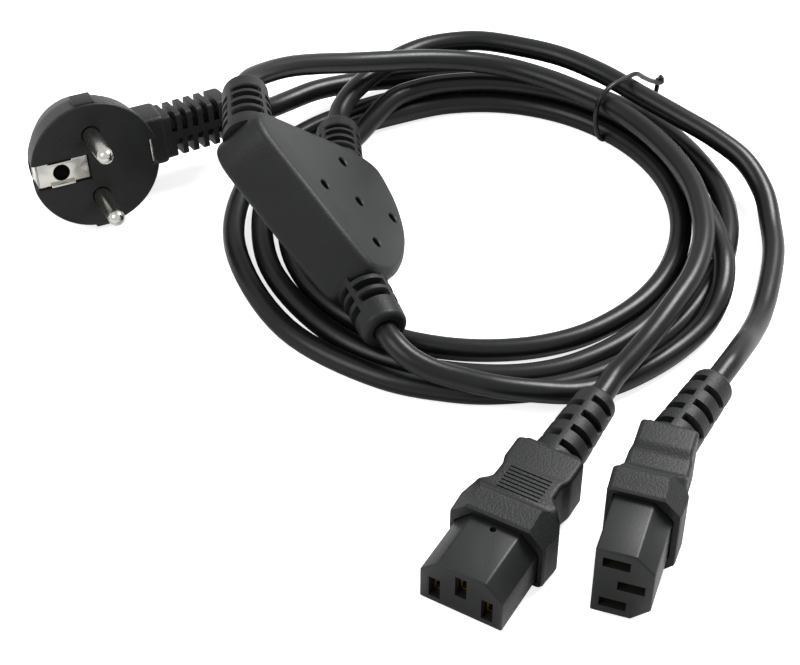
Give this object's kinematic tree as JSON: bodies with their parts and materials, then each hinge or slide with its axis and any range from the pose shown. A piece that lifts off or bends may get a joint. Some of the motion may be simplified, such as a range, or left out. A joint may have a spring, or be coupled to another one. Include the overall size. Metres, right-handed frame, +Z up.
{
  "type": "power cord splitter",
  "caption": "Power cord splitter with an angled earthed mains plug, a coiled and tied main cord, a moulded Y junction box, and leads that end in slotted appliance connectors.",
  "frame": {"origin": "on the floor, under the middle of the splitter box's bounding box", "axes": "+Z up; +Y towards the far side of the coil; +X to the right of it, seen from the connectors"},
  "size_m": [0.2174, 0.2271, 0.0551],
  "materials": {
    "jacket": "smooth semi-matte black flexible PVC",
    "moulding": "fine-textured black moulded PVC",
    "insert": "dark grey moulded plastic",
    "bridge": "off-white stiff plastic",
    "nickel": "bright nickel-plated brass",
    "brass": "plain brass",
    "core_brown": "brown PVC insulation",
    "core_blue": "blue PVC insulation",
    "core_green": "green and yellow PVC insulation",
    "tie": "black plastic-coated wire"
  },
  "bodies": {
    "root": {"splitter_body": "moulding", "plug_body": "moulding", "plug_bridge": "bridge", "plug_pin_line": "nickel", "plug_pin_neutral": "nickel", "plug_earth_strip": "nickel", "plug_earth_sleeve": "nickel", "main_cord_coil": "jacket", "main_cord_feed": "jacket", "main_cord_tail": "jacket", "lead_a": "jacket", "lead_b": "jacket", "cable_tie": "tie", "splice_line": "brass", "plug_core_line": "core_brown", "main_core_line": "core_brown", "lead_a_core_line": "core_brown", "lead_b_core_line": "core_brown", "connector_1_contact_line": "brass", "connector_1_core_line": "core_brown", "connector_2_contact_line": "brass", "connector_2_core_line": "core_brown", "splice_earth": "brass", "plug_core_earth": "core_green", "main_core_earth": "core_green", "lead_a_core_earth": "core_green", "lead_b_core_earth": "core_green", "connector_1_contact_earth": "brass", "connector_1_core_earth": "core_green", "connector_2_contact_earth": "brass", "connector_2_core_earth": "core_green", "splice_neutral": "brass", "plug_core_neutral": "core_blue", "main_core_neutral": "core_blue", "lead_a_core_neutral": "core_blue", "lead_b_core_neutral": "core_blue", "connector_1_contact_neutral": "brass", "connector_1_core_neutral": "core_blue", "connector_2_contact_neutral": "brass", "connector_2_core_neutral": "core_blue", "connector_1_body": "moulding", "connector_1_nose": "insert", "connector_2_body": "moulding", "connector_2_nose": "insert"}
  },
  "joints": []
}
